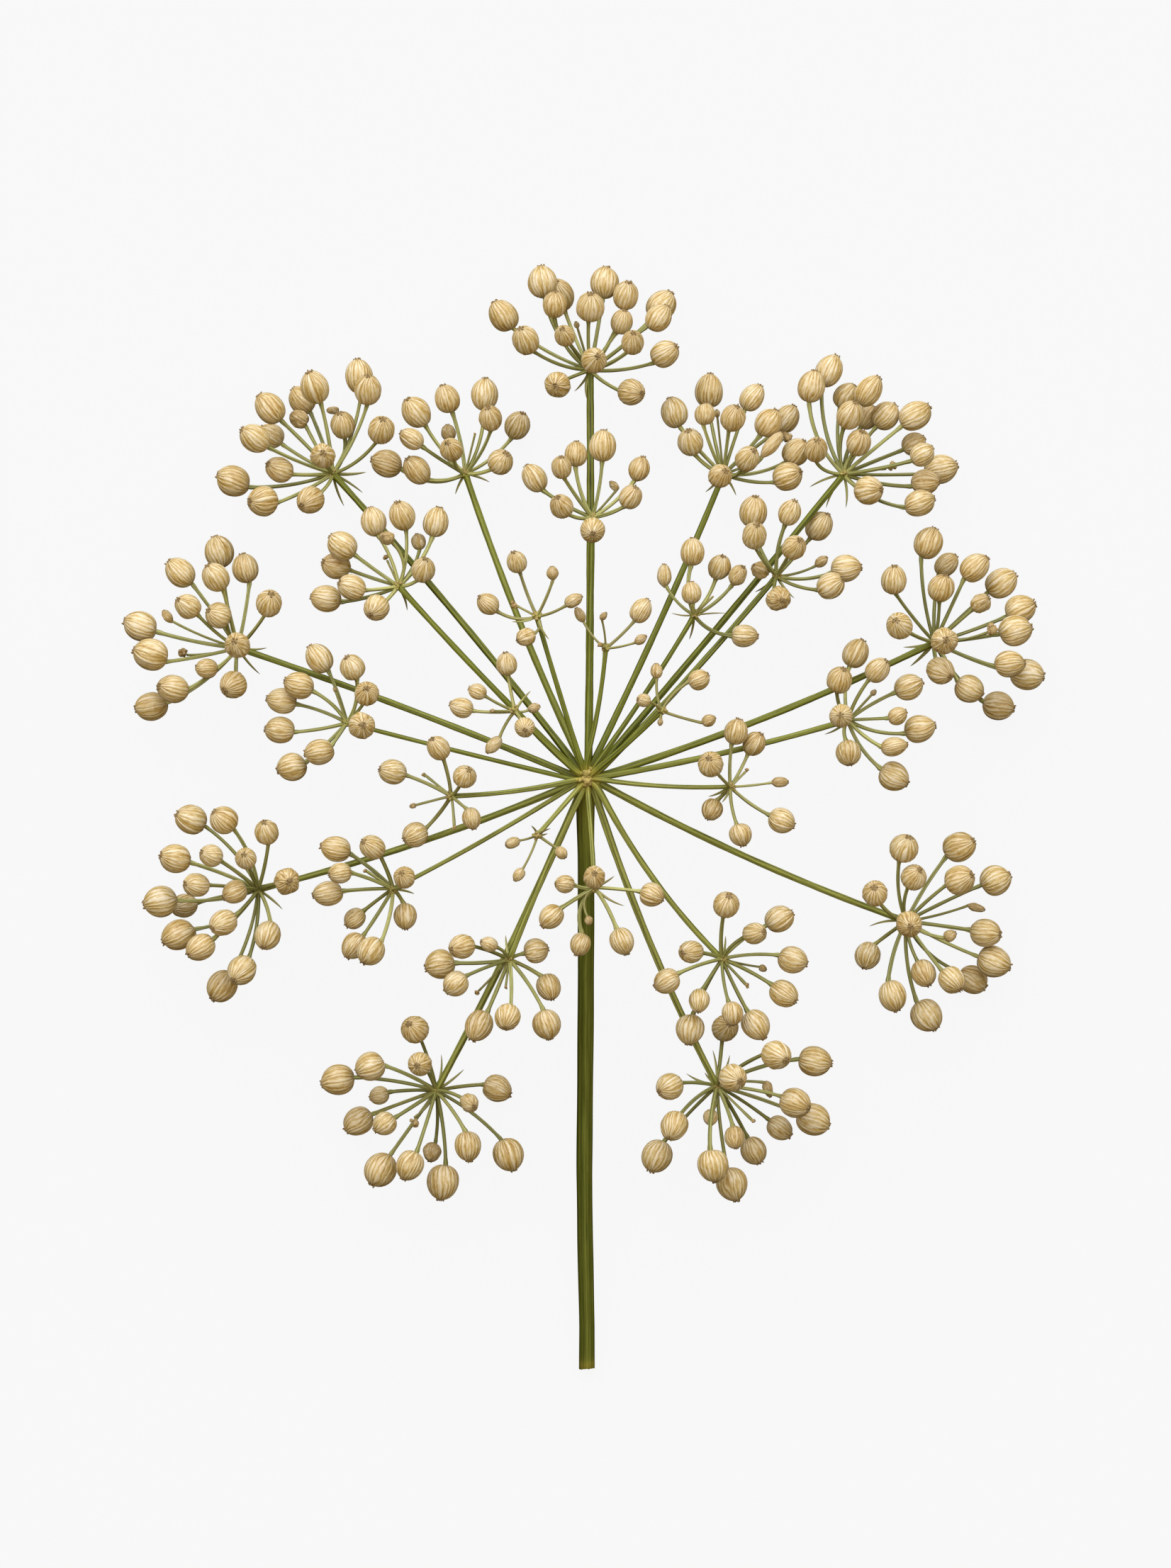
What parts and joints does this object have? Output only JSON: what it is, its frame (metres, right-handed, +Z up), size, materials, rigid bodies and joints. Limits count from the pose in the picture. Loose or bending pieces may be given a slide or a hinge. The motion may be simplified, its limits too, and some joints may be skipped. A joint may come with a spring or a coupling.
{
  "type": "dried fennel seed head",
  "caption": "Dried compound umbel lying flat: a cut stalk and spreading rays, each ending in a small umbel of curved pedicels with ribbed round fruits.",
  "frame": {"origin": "middle of the bounding box's underside: the surface that the head lies on is z = 0, and x = 0, y = 0 is the middle of its footprint", "axes": "+Z up from the surface, out of the face of the umbel; -Y along the cut stalk from the hub to its end, +Y to the far side of the head; +X to the right when seen from above with the stalk pointing down"},
  "size_m": [0.14, 0.1691, 0.0381],
  "materials": {
    "stalk": "dull, grooved lengthwise",
    "stem": "dull, finely grooved lengthwise",
    "fruit": "dry, matte, ribbed"
  },
  "bodies": {
    "root": {"stalk": "stalk", "ray_01": "stem", "ray_02": "stem", "ray_03": "stem", "ray_04": "stem", "ray_05": "stem", "ray_06": "stem", "ray_07": "stem", "ray_08": "stem", "ray_09": "stem", "ray_10": "stem", "ray_11": "stem", "ray_12": "stem", "ray_13": "stem", "ray_14": "stem", "ray_15": "stem", "ray_16": "stem", "ray_17": "stem", "ray_18": "stem", "ray_19": "stem", "ray_20": "stem", "ray_21": "stem", "ray_22": "stem", "ray_23": "stem", "ray_24": "stem", "ray_25": "stem", "ray_26": "stem", "ray_27": "stem", "ray_28": "stem", "umbellet_01": "fruit", "umbellet_02": "fruit", "umbellet_03": "fruit", "umbellet_04": "fruit", "umbellet_05": "fruit", "umbellet_06": "fruit", "umbellet_07": "fruit", "umbellet_08": "fruit", "umbellet_09": "fruit", "umbellet_10": "fruit", "umbellet_11": "fruit", "umbellet_12": "fruit", "umbellet_13": "fruit", "umbellet_14": "fruit", "umbellet_15": "fruit", "umbellet_16": "fruit", "umbellet_17": "fruit", "umbellet_18": "fruit", "umbellet_19": "fruit", "umbellet_20": "fruit", "umbellet_21": "fruit", "umbellet_22": "fruit", "umbellet_23": "fruit", "umbellet_24": "fruit", "umbellet_25": "fruit", "umbellet_26": "fruit", "umbellet_27": "fruit", "umbellet_28": "fruit"}
  },
  "joints": []
}
